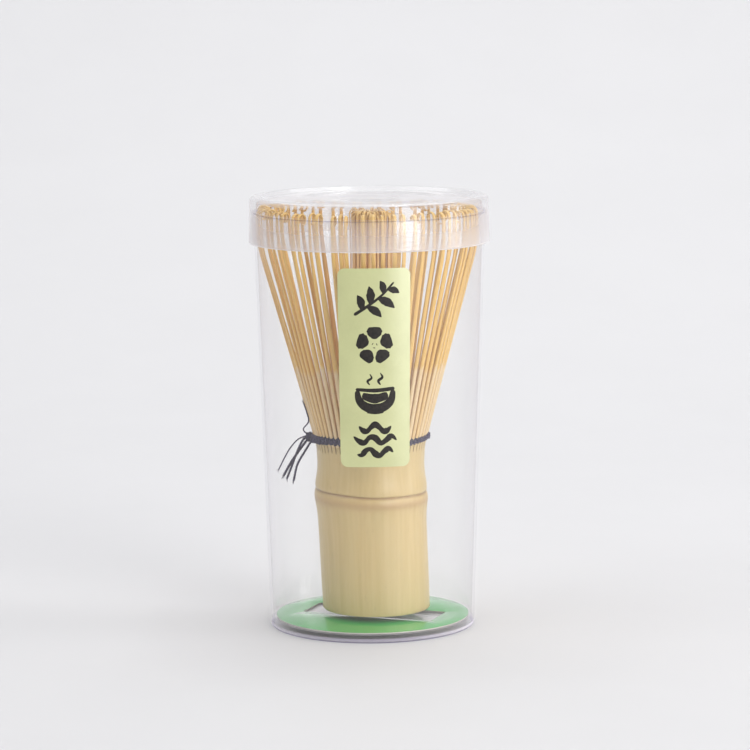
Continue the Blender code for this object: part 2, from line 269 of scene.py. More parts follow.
class Bundle:
    """Collects swept forms into one mesh, with the values that their material reads."""

    def __init__(self):
        self.points, self.faces, self.values = [], [], {}
        self.count = 0

    def add(self, points, flip=False, **values):
        """Adds a form given as rows of rings, with a flat cap at each end."""
        rows, cols = points.shape[:2]
        self.faces += grid_faces(rows, cols, self.count, wrap=True, flip=flip)
        first = list(range(self.count, self.count + cols))
        last = list(range(self.count + (rows - 1) * cols, self.count + rows * cols))
        self.faces += [first, last[::-1]] if flip else [first[::-1], last]
        self.points.append(points.reshape(-1, 3))
        for key, value in values.items():
            spread = np.broadcast_to(value, (rows, cols)).ravel()
            self.values.setdefault(key, []).append(spread)
        self.count += rows * cols

    def mesh(self, name, sharp_deg=42):
        points = np.vstack(self.points)
        mesh = smooth_mesh(name, points, self.faces, sharp_deg)
        for key, parts in self.values.items():
            store(mesh, key, np.concatenate(parts))
        store(mesh, "rest_mm", points / MM, "FLOAT_VECTOR")
        return mesh


# ---- materials

class Surface:
    """A node material being put together: each call adds one node and gives back its output."""

    def __init__(self, name, swept=False):
        self.swept = swept
        self.material = bpy.data.materials.new(name)
        self.material.use_nodes = True
        self.nodes = self.material.node_tree.nodes
        self.links = self.material.node_tree.links
        self.shader = self.nodes["Principled BSDF"]
        self.where = self.coordinates()

    def feed(self, socket, value):
        if isinstance(value, bpy.types.NodeSocket):
            self.links.new(value, socket)
        elif socket.type == "RGBA" and len(value) == 3:
            socket.default_value = (*value, 1.0)
        else:
            socket.default_value = value

    def add(self, kind, inputs, output=0, **settings):
        node = self.nodes.new("ShaderNode" + kind)
        for key, value in settings.items():
            setattr(node, key, value)
        for key, value in inputs.items():
            self.feed(node.inputs[key], value)
        return node.outputs[output]

    def value(self, name):
        return self.add("Attribute", {}, "Fac", attribute_name=name)

    def coordinates(self):
        """Coordinates in millimetres; those of a swept piece are stored, and move with it."""
        if self.swept:
            return self.add("Attribute", {}, "Vector", attribute_name="rest_mm")
        local = self.add("TexCoord", {}, "Object")
        return self.add("VectorMath", {0: local, "Scale": 1 / MM}, operation="SCALE")

    def spread(self, scale):
        """Inputs of a texture: one scale is its own, and three scales stretch its coordinates."""
        if isinstance(scale, float):
            return {"Vector": self.where, "Scale": scale}
        stretched = self.add("VectorMath", {0: self.where, 1: scale}, operation="MULTIPLY")
        return {"Vector": stretched, "Scale": 1.0}

    def noise(self, scale, detail=4.0, roughness=0.55):
        return self.add("TexNoise", {**self.spread(scale), "Detail": detail,
                                     "Roughness": roughness})

    def spots(self, scale):
        return self.add("TexVoronoi", self.spread(scale), "Distance")

    def math(self, operation, a, b=0.0, clamp=False):
        return self.add("Math", {0: a, 1: b}, operation=operation, use_clamp=clamp)

    def times(self, a, b):
        return self.math("MULTIPLY", a, b)

    def plus(self, a, b, clamp=False):
        return self.math("ADD", a, b, clamp)

    def span(self, value, low, high, to_low=0.0, to_high=1.0):
        return self.add("MapRange", {"Value": value, "From Min": low, "From Max": high,
                                     "To Min": to_low, "To Max": to_high})

    def blend(self, share, a, b):
        node = self.nodes.new("ShaderNodeMix")
        node.data_type = "RGBA"
        self.feed(node.inputs[0], share)
        self.feed(node.inputs[6], a)
        self.feed(node.inputs[7], b)
        return node.outputs[2]

    def stain(self, share, strength, toward):
        """Pulls the colour towards another one where the share is high, up to the strength."""
        self.colour = self.blend(self.times(share, strength), self.colour, toward)

    def mix(self, share, a, b):
        """Mixes two shaders."""
        return self.add("MixShader", {0: share, 1: a, 2: b})

    def clear(self, colour):
        return self.add("BsdfTransparent", {"Color": colour})

    def bump(self, height, distance, strength):
        return self.add("Bump", {"Height": height, "Distance": distance, "Strength": strength})

    def finish(self, **inputs):
        names = {"roughness": "Roughness", "normal": "Normal", "specular": "Specular IOR Level",
                 "coat": "Coat Weight", "coat_roughness": "Coat Roughness", "coat_ior": "Coat IOR",
                 "sheen": "Sheen Weight"}
        self.feed(self.shader.inputs["Base Color"], self.colour)
        for key, value in inputs.items():
            self.feed(self.shader.inputs[names[key]], value)
        return self.material


def cane_material():
    """Bare bamboo skin: long fibres, pale and tan patches, a brown line in the node's groove."""
    s = Surface("bamboo_skin")
    fibre = s.noise((5.0, 5.0, 0.16), 6.0, 0.65)
    streak = s.noise((0.9, 0.9, 0.02), 3.0)
    patch = s.noise((0.10, 0.10, 0.045), 3.0)
    s.colour = s.blend(s.span(streak, 0.22, 0.80), srgb(205, 175, 110), srgb(221, 194, 134))
    s.stain(s.span(patch, 0.35, 0.75), 0.6, srgb(202, 180, 118))
    s.stain(s.span(fibre, 0.52, 0.86), 0.16, srgb(186, 152, 96))
    speck = s.spots((0.55, 0.55, 0.24))
    s.stain(s.span(speck, 0.10, 0.04), 0.5, srgb(130, 100, 60))
    stained = s.times(s.value("groove"), s.span(s.noise(0.35), 0.2, 0.7, 0.45, 0.9))
    s.colour = s.blend(stained, s.colour, srgb(150, 110, 72))
    s.stain(s.value("ridge"), 0.65, srgb(188, 148, 96))
    # Painted shade: dark brown down the saw cuts between the tines, and a little on the columns beside
    # them.
    s.colour = s.blend(s.value("kerf"), s.colour, srgb(120, 78, 38))
    pores = s.spots(2.2)
    grain = s.blend(s.span(pores, 0.16, 0.30), srgb(128, 92, 50), srgb(214, 190, 142))
    s.colour = s.blend(s.value("cut_end"), s.colour, grain)
    wax = s.noise(0.6, 3.0)
    height = s.plus(s.times(fibre, 0.6), s.times(streak, 0.4))
    normal = s.bump(height, 0.00005, 0.4)
    return s.finish(roughness=s.span(wax, 0.3, 0.7, 0.36, 0.50), normal=normal,
                    specular=0.5, coat=0.6, coat_roughness=0.40)


def tine_material(name, skin, side, root_skin):
    """Split bamboo: golden where it was shaved, paler at the root, glossy on the cut sides."""
    s = Surface(name, swept=True)
    tone = s.value("tone")
    outer = s.value("outer")
    along = s.value("along")
    fibre = s.noise((6.0, 6.0, 0.30), 5.0, 0.6)
    cloud = s.noise((0.5, 0.5, 0.06), 3.0)
    shaved = s.span(s.plus(along, s.times(tone, 0.035)), 0.316, 0.340)
    face = s.blend(shaved, root_skin, skin)
    edge = s.blend(shaved, srgb(204, 160, 102), side)
    s.colour = s.blend(s.span(outer, 0.15, 0.7), edge, face)
    deep = s.blend(s.span(outer, 0.2, 0.8), srgb(200, 144, 56), srgb(230, 182, 88))
    s.stain(s.span(tone, 0.45, 1.0), 0.6, deep)
    amber = s.times(s.span(cloud, 0.45, 0.75), shaved)
    s.stain(amber, 0.45, srgb(226, 168, 72))
    s.stain(s.span(fibre, 0.52, 0.80), 0.35, srgb(190, 138, 70))
    # Painted shade near the roots, where the tines stand close: darker low down, most on the inner
    # faces and sides.
    s.stain(s.span(along, 0.12, 0.0), s.span(outer, 0.8, 0.1), srgb(150, 100, 58))
    s.stain(s.span(along, 0.90, 0.94), 0.8, srgb(222, 182, 96))
    normal = s.bump(fibre, 0.00005, 0.5)
    return s.finish(roughness=s.span(fibre, 0.3, 0.8, 0.30, 0.48), normal=normal,
                    specular=0.6, coat=0.3, coat_roughness=0.22)


def thread_material():
    """Dark indigo cotton: fine twisted fibres with a little fuzz, and painted shade in the nooks where
    it sinks into the kerfs.
    """
    s = Surface("dark_thread", swept=True)
    along = s.value("along")
    around = s.value("around")
    phase = s.plus(s.times(along, 9.5), s.times(around, 3.0))
    twist = s.plus(s.times(s.math("SINE", phase), 0.5), 0.5)
    fuzz = s.noise(6.0, 5.0, 0.7)
    s.colour = s.blend(s.span(fuzz, 0.3, 0.75), srgb(66, 52, 98), srgb(132, 110, 154))
    s.colour = s.blend(s.times(twist, 0.4), srgb(36, 29, 62), s.colour)
    # Painted shade where the thread sinks into each kerf.
    s.stain(s.value("nook"), 0.8, srgb(14, 11, 32))
    height = s.plus(s.times(twist, 0.7), s.times(fuzz, 0.5))
    return s.finish(roughness=0.85, normal=s.bump(height, 0.00006, 0.9), sheen=0.25,
                    specular=0.25)


def see_through(s, shader):
    """Lets lamps and bounced light straight through, so that the clear pieces cast no dark shadow."""
    path = s.nodes.new("ShaderNodeLightPath")
    passing = s.math("MAXIMUM", path.outputs["Is Shadow Ray"], path.outputs["Is Diffuse Ray"])
    mixed = s.mix(passing, shader, s.clear(srgb(250, 250, 251)))
    s.links.new(mixed, s.nodes["Material Output"].inputs["Surface"])
    return s.material


def thin_plastic(s, normal, edge_tint, veil, mirror_base, roughness):
    """Each face of a thin clear wall: straight through, a little veiled, and a mirror at a slant."""
    grazing = s.add("LayerWeight", {"Blend": 0.5}, "Facing")
    edge = s.math("POWER", grazing, 4.0)
    tint = s.blend(edge, srgb(254, 254, 254), edge_tint)
    milky = {"Color": srgb(236, 234, 239)}
    milk = s.mix(0.4, s.add("BsdfDiffuse", milky), s.add("BsdfTranslucent", milky))
    body = s.mix(veil(edge), s.clear(tint), milk)
    white = {"Color": (1, 1, 1), "Normal": normal}
    sharp = s.add("BsdfGlossy", {**white, "Roughness": roughness})
    broad = s.add("BsdfGlossy", {**white, "Roughness": 0.42})
    shine = s.mix(s.times(s.math("SUBTRACT", 1.0, edge), 0.6), sharp, broad)
    mirror = s.plus(s.times(edge, 0.9), mirror_base, clamp=True)
    outside = s.math("SUBTRACT", 1.0, s.add("NewGeometry", {}, "Backfacing"))
    return s.mix(s.times(mirror, outside), body, shine)


def clear_material():
    """Clear moulded plastic with faint flow lines and handling marks; lilac at its lip, and round its
    foot a painted light band over a painted shade line.
    """
    s = Surface("clear_plastic")
    flow = s.noise((0.05, 0.05, 0.012), 2.0)
    smear = s.noise((0.35, 0.35, 0.10), 4.0)
    normal = s.bump(flow, 0.0006, 0.12)

    def veil(edge):
        frost = s.times(s.value("floor"), 0.8)
        marks = s.times(s.span(smear, 0.55, 0.8), 0.012)
        return s.plus(frost, s.plus(marks, s.times(edge, 0.02)))

    whole = thin_plastic(s, normal, srgb(250, 249, 252), veil, 0.10,
                         s.span(smear, 0.45, 0.75, 0.02, 0.07))
    # Painted light: a pale band round the foot, lighter where the wall turns away from the view, for
    # the bright surroundings seen through the thick foot.
    side = s.add("LayerWeight", {"Blend": 0.5}, "Facing")
    lit = s.blend(s.span(side, 0.05, 0.6), srgb(214, 208, 226), srgb(250, 247, 253))
    bright = s.mix(0.4, s.add("BsdfDiffuse", {"Color": lit}), s.clear(lit))
    whole = s.mix(s.times(s.value("foot_light_band"), 0.8), whole, bright)
    # Painted shade: a dark line along the bottom of the foot, darkest where the wall faces the view.
    dark = s.blend(s.span(side, 0.05, 0.7), srgb(118, 110, 140), srgb(206, 200, 224))
    whole = s.mix(s.value("foot_shade_line"), whole, s.clear(dark))
    lip = s.clear(srgb(204, 200, 224))
    return see_through(s, s.mix(s.times(s.value("lip"), 0.7), whole, lip))


def lid_material():
    """The lid's softer plastic: slightly milky, more so down its skirt and at its hem."""
    s = Surface("milky_plastic")
    bloom = s.noise((0.30, 0.30, 0.12), 4.0)
    flow = s.noise((0.06, 0.06, 0.10), 2.0)
    normal = s.bump(flow, 0.0006, 0.12)

    def veil(edge):
        skirt = s.times(s.value("skirt"), s.span(bloom, 0.2, 0.8, 0.09, 0.14))
        skin = s.plus(s.span(bloom, 0.2, 0.8, 0.02, 0.05), s.times(edge, 0.45))
        return s.plus(s.plus(skirt, skin), s.times(s.value("hem"), 0.4), clamp=True)

    whole = thin_plastic(s, normal, srgb(248, 247, 250), veil, 0.07,
                         s.span(bloom, 0.35, 0.75, 0.08, 0.16))
    return see_through(s, whole)


def card_material():
    """Green coated card: a glossy film over slightly uneven print, raw grey-white at the cut edge."""
    s = Surface("coated_card")
    print_noise = s.noise(0.8, 4.0)
    tooth = s.noise(5.0, 4.0, 0.7)
    s.colour = s.blend(s.span(print_noise, 0.3, 0.7), srgb(36, 162, 62), srgb(52, 176, 74))
    s.stain(s.span(tooth, 0.6, 0.8), 0.15, srgb(92, 180, 96))
    core = s.blend(s.span(tooth, 0.3, 0.7), srgb(170, 166, 158), srgb(206, 202, 194))
    s.colour = s.blend(s.value("core"), s.colour, core)
    return s.finish(roughness=0.42, specular=0.5, coat=1.0,
                    coat_roughness=s.span(print_noise, 0.3, 0.7, 0.04, 0.10),
                    normal=s.bump(tooth, 0.00001, 0.5))


def label_material():
    """Pale yellow-green label paper with a soft sheen and visible pulp."""
    s = Surface("label_paper")
    pulp = s.noise(2.4, 6.0, 0.7)
    cloud = s.noise(0.12, 3.0)
    flecks = s.spots((1.1, 1.1, 0.5))
    s.colour = s.blend(s.span(cloud, 0.3, 0.7), srgb(188, 192, 122), srgb(199, 203, 134))
    s.stain(s.span(pulp, 0.45, 0.75), 0.12, srgb(232, 234, 190))
    s.stain(s.span(flecks, 0.07, 0.02), 0.25, srgb(170, 168, 112))
    return s.finish(roughness=s.span(pulp, 0.3, 0.7, 0.33, 0.40), specular=1.0,
                    coat=1.0, coat_roughness=0.32, coat_ior=2.2, normal=s.bump(pulp, 0.00002, 0.2))


def ink_material():
    s = Surface("black_ink")
    wash = s.noise(1.5, 5.0, 0.6)
    s.colour = s.blend(s.span(wash, 0.35, 0.75), srgb(26, 23, 22), srgb(52, 47, 42))
    return s.finish(roughness=s.span(wash, 0.3, 0.7, 0.38, 0.55), specular=0.4,
                    normal=s.bump(wash, 0.00001, 0.5))


def table_material():
    """Matt pale board with hardly any cloudiness."""
    s = Surface("pale_table")
    pale = srgb(216, 216, 218)
    grain = s.noise(0.02, 3.0)
    s.colour = s.blend(s.span(grain, 0.3, 0.7), pale, tuple(c * 0.985 for c in pale))
    return s.finish(roughness=0.6, specular=0.3)


# ---- case

def case_radius(z):
    """Outer radius of the cup's tapered wall."""
    return CASE_FOOT_R + (CASE_RIM_R - CASE_FOOT_R) * z / CASE_TOP


def make_cup(material):
    inner_r = case_radius(FLOOR_TOP) - CASE_WALL
    inner_fillet = 0.5 * MM
    lip = CASE_WALL / 2
    profile = [(0.0, FLOOR_TOP - 0.05 * MM), (1.2 * MM, FLOOR_TOP)]
    profile += arc((inner_r - inner_fillet, FLOOR_TOP + inner_fillet), inner_fillet, -90, 0, 5)
    for z in np.linspace(8 * MM, CASE_TOP - 4 * MM, 24):
        profile.append((case_radius(z) - CASE_WALL, z))
    profile += arc((CASE_RIM_R - lip, CASE_TOP - lip), lip, 180, 0, 8)
    for z in np.r_[np.linspace(CASE_TOP - 4 * MM, 4 * MM, 24), np.linspace(2.4 * MM, 1.0 * MM, 8)]:
        profile.append((case_radius(z), z))
    profile += arc((case_radius(FOOT_FILLET) - FOOT_FILLET, FOOT_FILLET), FOOT_FILLET, 0, -90, 6)
    profile += arc((FOOT_INNER_R + 0.2 * MM, 0.2 * MM), 0.2 * MM, 270, 180, 3)
    profile += arc((FOOT_INNER_R - 0.4 * MM, FLOOR_UNDER - 0.4 * MM), 0.4 * MM, 0, 90, 3)
    profile += [(2.2 * MM, FLOOR_UNDER), (1.6 * MM, FLOOR_UNDER - 0.25 * MM)]
    profile += [(0.0, FLOOR_UNDER - 0.3 * MM)]
    mesh = lathe("cup", profile, ROUND_STEPS)
    heights = np.array([vert.co.z for vert in mesh.vertices]) / MM
    outside = np.array([math.hypot(*vert.co.xy) for vert in mesh.vertices]) > case_radius(0) - 1.0 * MM
    # Masks for the painted light band round the foot and the painted shade line along its bottom.
    store(mesh, "foot_light_band", outside * np.clip(np.minimum(heights - 0.4, 1.45 - heights) / 0.2, 0, 1))
    store(mesh, "foot_shade_line", outside * np.clip((0.50 - heights) / 0.15, 0, 1))
    store(mesh, "lip", np.clip((heights - CASE_TOP / MM + 0.32) / 0.15, 0, 1))
    store(mesh, "floor", (heights > 1.6) & (heights < 2.4) & ~outside)
    place("case_cup", mesh, material, "clear_plastic", ["case_body"], "case")


def make_lid(material):
    """A thin cap: sunk panel with two faint steps, a rounded raised edge and a straight skirt."""
    top, bottom = LID_HIGH.z, LID_LOW.z
    skirt_r = LID_HIGH.x
    crown_r = skirt_r - 0.25 * MM
    wall = 0.70 * MM
    panel_top = top - 1.0 * MM
    panel = 0.8 * MM
    stop_z = CASE_TOP + 0.3 * MM
    stop_r = 31.1 * MM
    edge = 1.5 * MM
    profile = [(0.0, panel_top), (8.0 * MM, panel_top), (8.4 * MM, panel_top + 0.08 * MM)]
    profile += [(18.0 * MM, panel_top + 0.08 * MM), (18.4 * MM, panel_top), (28.2 * MM, panel_top)]
    profile += arc((28.4 * MM, panel_top + 0.7 * MM), 0.7 * MM, -80, -35, 4)
    profile += arc((30.2 * MM, top - 0.6 * MM), 0.6 * MM, 145, 90, 4)
    profile += arc((crown_r - edge, top - edge), edge, 84, 2, 9)
    for share in np.r_[np.linspace(0.15, 0.9, 10), 0.955]:
        profile.append((crown_r + 0.25 * MM * share, top - edge - (top - edge - bottom) * share))
    profile += arc((skirt_r - 0.25 * MM, bottom + 0.25 * MM), 0.25 * MM, 0, -90, 3)
    profile += arc((skirt_r - wall + 0.15 * MM, bottom + 0.15 * MM), 0.15 * MM, 270, 180, 3)
    profile += [(crown_r - wall + 0.05 * MM, stop_z - 0.2 * MM), (crown_r - wall - 0.1 * MM, stop_z)]
    profile += [(stop_r + 0.15 * MM, stop_z), (stop_r, stop_z + 0.15 * MM)]
    profile += arc((stop_r - 0.5 * MM, panel_top - panel - 0.5 * MM), 0.5 * MM, 0, 90, 4)
    profile += [(0.0, panel_top - panel)]
    mesh = lathe("lid", profile, ROUND_STEPS)
    heights = np.array([vert.co.z for vert in mesh.vertices])
    store(mesh, "skirt", np.clip((CASE_TOP + 0.1 * MM - heights) / (0.6 * MM), 0, 1))
    store(mesh, "hem", np.clip((LID_LOW.z + 0.45 * MM - heights) / (0.2 * MM), 0, 1))
    place("lid_cap", mesh, material, "frosted_plastic", ["case_lid"], "lid")


def slot_cutter():
    """A bar with rounded upright edges, standing where the card's slot is cut."""
    mesh = bpy.data.meshes.new("slot_shape")
    bm = bmesh.new()
    bmesh.ops.create_cube(bm, size=1.0)
    bmesh.ops.scale(bm, vec=(*SLOT_SIZE, 4 * MM), verts=bm.verts)
    upright = [e for e in bm.edges if abs((e.verts[0].co - e.verts[1].co).z) > 1 * MM]
    bmesh.ops.bevel(bm, geom=upright, offset=0.5 * MM, segments=4, profile=0.5, affect="EDGES")
    bm.to_mesh(mesh)
    bm.free()
    cutter = new_object("slot_shape", mesh)
    cutter.location = SLOT_MIDDLE
    cutter.rotation_euler = (0, 0, SLOT_TURN)
    return cutter


def make_card(material):
    """The card is a thin disc with its slot cut out and its cut edges softened."""
    thick = 0.42 * MM
    centre_z = CARD_LOW.z - 0.08 * MM + thick / 2
    bm = bmesh.new()
    bmesh.ops.create_circle(bm, cap_ends=True, segments=180, radius=CARD_HIGH.x)
    mesh = bpy.data.meshes.new("card")
    bm.to_mesh(mesh)
    bm.free()
    card = place("card_disc", mesh, material, "green_card", ["base_card"])
    solid = card.modifiers.new("thick", "SOLIDIFY")
    solid.thickness = thick
    solid.offset = 0.0
    cutter = slot_cutter()
    slot = card.modifiers.new("slot", "BOOLEAN")
    slot.solver = "EXACT"
    slot.object = cutter
    edge = card.modifiers.new("edge", "BEVEL")
    edge.width = 0.05 * MM
    edge.segments = 2
    edge.limit_method = "ANGLE"
    bpy.context.view_layer.update()
    final = bpy.data.meshes.new_from_object(card.evaluated_get(bpy.context.evaluated_depsgraph_get()))
    card.modifiers.clear()
    bpy.data.objects.remove(cutter, do_unlink=True)
    final.transform(Matrix.Translation((0, 0, centre_z)))
    card.data = final
    heights = np.array([v.co.z - centre_z for v in final.vertices])
    store(final, "core", heights < thick / 2 - 0.02 * MM)
    final.shade_smooth()
    final.set_sharp_from_angle(angle=math.radians(50))
    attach(card, "case")


# ---- label

def on_wall(x, z, lift):
    """A point on the cup's outer wall: x is measured round the wall from the label's middle."""
    radius = case_radius(z) + lift
    turn = LABEL_TURN + x / CASE_RIM_R
    return np.stack([radius * np.cos(turn), radius * np.sin(turn), z + 0 * turn], -1)


def make_label(material):
    low, high = LABEL_LOW.z, LABEL_HIGH.z
    ends = LABEL_CORNER * (1 - np.cos(np.linspace(0, math.pi / 2, 9)))
    straight = np.linspace(low + LABEL_CORNER, high - LABEL_CORNER, 60)[1:-1]
    z = np.r_[low + ends, straight, (high - ends)[::-1]]
    past_straight = LABEL_CORNER - np.minimum(np.minimum(z - low, high - z), LABEL_CORNER)
    inset = LABEL_CORNER - np.sqrt(np.maximum(0, LABEL_CORNER ** 2 - past_straight ** 2))
    u = np.linspace(-1, 1, 33)
    x = u[None, :] * (LABEL_HALF - inset)[:, None]
    heights = np.repeat(z[:, None], len(u), 1)
    back = on_wall(x, heights, LABEL_LIFT)
    front = on_wall(x, heights, LABEL_LIFT + LABEL_THICK)
    rows, cols = x.shape
    points = np.vstack([back.reshape(-1, 3), front.reshape(-1, 3)])
    faces = grid_faces(rows, cols, 0, flip=True) + grid_faces(rows, cols, rows * cols)
    rim = [(0, j) for j in range(cols)] + [(i, cols - 1) for i in range(1, rows)]
    rim += [(rows - 1, j) for j in range(cols - 2, -1, -1)] + [(i, 0) for i in range(rows - 2, 0, -1)]
    index = [i * cols + j for i, j in rim]
    for a, b in zip(index, index[1:] + index[:1]):
        faces.append([a, b, b + rows * cols, a + rows * cols])
    mesh = smooth_mesh("label", points, faces, 30)
    place("label_sheet", mesh, material, "label_paper", ["label"], "case")


def stroke(bundle, knots, widths, middle_z, layer, scale=1.0):
    """One brush stroke on the label, in millimetres about a motif's middle."""
    path = smooth_line(np.array(knots) * scale, 48) * MM
    t = np.linspace(0, 1, len(path))
    width = np.interp(t, np.linspace(0, 1, len(widths)), widths) * scale * MM
    round_off = np.sqrt(np.clip(1 - (1 - np.clip(np.minimum(t, 1 - t) / 0.05, 0, 1)) ** 2, 0, 1))
    rough = 1 + 0.05 * np.convolve(RNG.normal(size=len(t) + 4), np.ones(5) / 5, "valid")
    width = width * np.maximum(round_off, 0.05) * rough
    tangent = unit_tangents(path)
    side = np.stack([-tangent[:, 1], tangent[:, 0]], -1)
    across = np.linspace(-0.5, 0.5, 7)
    flat = path[:, None] + side[:, None] * (across[None, :, None] * width[:, None, None])
    lift = LABEL_LIFT + LABEL_THICK + (0.004 + 0.003 * layer) * MM
    crown = 0.02 * MM * (1 - (2 * across[None, :]) ** 2)
    top = on_wall(flat[..., 0], middle_z + flat[..., 1], lift + crown)
    under = on_wall(flat[..., 0], middle_z + flat[..., 1], lift - 0.02 * MM)[:, ::-1]
    bundle.add(np.concatenate([top, under], 1), flip=True)


def sprig(bundle, z):
    stroke(bundle, [(-5.6, -4.2), (-1.5, -1.6), (2.2, 1.2), (5.4, 4.6)], [0.9, 0.7, 0.5], z, 0)
    leaves = [((-3.4, -2.9), (-4.6, 1.2), 2.3), ((-1.2, -1.3), (-1.4, 3.6), 2.4),
              ((-2.0, -2.0), (2.0, -4.8), 2.3), ((1.0, 0.3), (5.6, -2.4), 2.5),
              ((2.4, 1.6), (1.6, 5.0), 2.0), ((3.6, 2.7), (6.9, 1.6), 1.9)]
    for layer, (start, end, fat) in enumerate(leaves):
        middle = (np.array(start) + np.array(end)) / 2 + np.array([0.35, 0.25])
        stroke(bundle, [start, middle, end], [0.35, fat * 0.8, fat, fat * 0.7, 0.15], z, layer + 1)


def blossom(bundle, z):
    for petal in range(5):
        turn = TAU * petal / 5 + math.pi / 2
        out = np.array([math.cos(turn), math.sin(turn)])
        stroke(bundle, [out * 1.7, out * 3.3, out * 5.0], [1.0, 3.6, 4.4, 3.0], z, petal)
    for dot in range(3):
        turn = TAU * dot / 3 + 0.4
        spot = np.array([math.cos(turn), math.sin(turn)]) * 0.55
        stroke(bundle, [spot, spot * 1.2, spot * 1.4], [0.5, 0.6, 0.5], z, dot)


def tea_bowl(bundle, z):
    stroke(bundle, [(-5.4, 1.0), (0.0, 0.7), (5.6, 1.2)], [0.8, 1.1, 1.0], z, 0)
    stroke(bundle, [(-5.0, 0.8), (-4.3, -2.2), (-1.8, -4.0), (1.8, -4.0), (4.4, -2.2), (5.2, 0.9)],
           [1.3, 2.2, 2.6, 2.6, 2.2, 1.3], z, 1)
    stroke(bundle, [(-3.6, -0.7), (0.0, -1.5), (3.7, -0.6)], [1.8, 2.6, 1.9], z, 2)
    stroke(bundle, [(-2.3, -5.1), (0.0, -5.3), (2.4, -5.1)], [0.7, 0.9, 0.7], z, 3)
    stroke(bundle, [(-1.4, 2.2), (-2.0, 3.2), (-0.9, 4.1), (-1.4, 5.2)], [0.3, 0.7, 0.6, 0.2], z, 4)
    stroke(bundle, [(1.6, 2.2), (1.0, 3.3), (2.1, 4.3), (1.5, 5.5)], [0.3, 0.8, 0.7, 0.2], z, 5)


def ripples(bundle, z):
    for layer, (height, half) in enumerate(((3.4, 4.6), (0.2, 6.2), (-3.2, 5.2))):
        x = np.linspace(-half, half, 9)
        wave = height + 0.95 * np.cos(x * 1.15 + layer)
        stroke(bundle, list(zip(x, wave)), [0.5, 1.7, 1.2, 1.9, 1.3, 1.7, 0.4], z, layer)


def make_motifs(material):
    """Four plain ink motifs, one above the other: a leaf sprig, a blossom, a tea bowl, ripples."""
    low, high = LABEL_LOW.z, LABEL_HIGH.z
    heights = [high - (high - low) * share for share in (0.155, 0.385, 0.625, 0.865)]
    names = ("sprig", "blossom", "tea_bowl", "ripples")
    for name, draw, z in zip(names, (sprig, blossom, tea_bowl, ripples), heights):
        bundle = Bundle()
        draw(bundle, z)
        place("ink_" + name, bundle.mesh(name, 60), material, "label_paper", (), "case")


# ---- handle

def cane_radius(z):
    """Outer radius of the cane, from its foot to the tine roots, as a smooth line."""
    knots = np.array([
        (4.4, 14.85), (12, 14.95), (22, 14.98), (29, 15.06), (32, 15.22), (34.2, 15.52),
        (35.8, 15.72), (37.0, 15.60), (37.7, 15.40), (38.0, 15.22), (38.3, 15.38), (39.2, 15.44),
        (40.4, 15.32), (42.5, 14.98), (45.0, 14.80), (47.2, 14.88), (49.6, 15.02), (51.2, 15.30),
        (53.0, 15.80),
    ]) * MM
    line = smooth_line(knots, 600)
    return np.interp(z, line[:, 0], line[:, 1])


def cane_sections():
    """The cane's profile (r, z) in stretches, each with whether it is skin and whether it is cut."""
    fine = np.linspace(SKIN_TOP_Z, 33.2 * MM, 84)
    coarse = np.linspace(33.2 * MM, HANDLE_FOOT_Z + 0.4 * MM, 32)[1:]
    skin_z = np.r_[fine, coarse]
    under, over = NODE_WALL
    above = [(0.0, over), (BORE_R * 0.6, over + 0.1 * MM)]
    above += [(BORE_R - 0.6 * MM, over + 0.3 * MM), (BORE_R, over + 1.2 * MM)]
    above += [(BORE_R, z) for z in np.linspace(40 * MM, 50 * MM, 6)]
    mouth = [(13.4 * MM, 50.4 * MM), (14.3 * MM, SKIN_TOP_Z)]
    skin = list(zip(cane_radius(skin_z), skin_z))
    edge = cane_radius(HANDLE_FOOT_Z + 0.4 * MM)
    chamfer = [(edge - 0.10 * MM, HANDLE_FOOT_Z + 0.12 * MM)]
    sole_r = np.r_[edge - 0.35 * MM, np.linspace(edge - 0.8 * MM, BORE_R + 0.4 * MM, 6)]
    sole = [(r, HANDLE_FOOT_Z) for r in sole_r]
    below = [(BORE_R, HANDLE_FOOT_Z + 0.4 * MM)]
    below += [(BORE_R, z) for z in np.linspace(8 * MM, under - 1.2 * MM, 8)]
    below += [(BORE_R - 0.8 * MM, under - 0.2 * MM), (0.0, under)]
    return [(above, False, False), (mouth, False, True), (skin, True, False),
            (chamfer, False, False), (sole, False, True), (below, False, False)]


def bell(height, middle, reach):
    """A weight that is 1 at a height and fades within a few times its reach."""
    return np.exp(-((height - middle) / reach) ** 2)


def kerf_depths(height):
    """Where the saw cuts between the tines run, each a little longer or shorter than the next."""
    column = np.arange(CANE_COLUMNS)
    ends = 49.4 * MM + RNG.normal(0, 0.22, TINE_COUNT).repeat(COLUMNS_PER_TINE) * MM
    cuts = np.clip((height - ends) / (0.5 * MM), 0, 1)
    return cuts * (column % COLUMNS_PER_TINE == 0)[None, :]


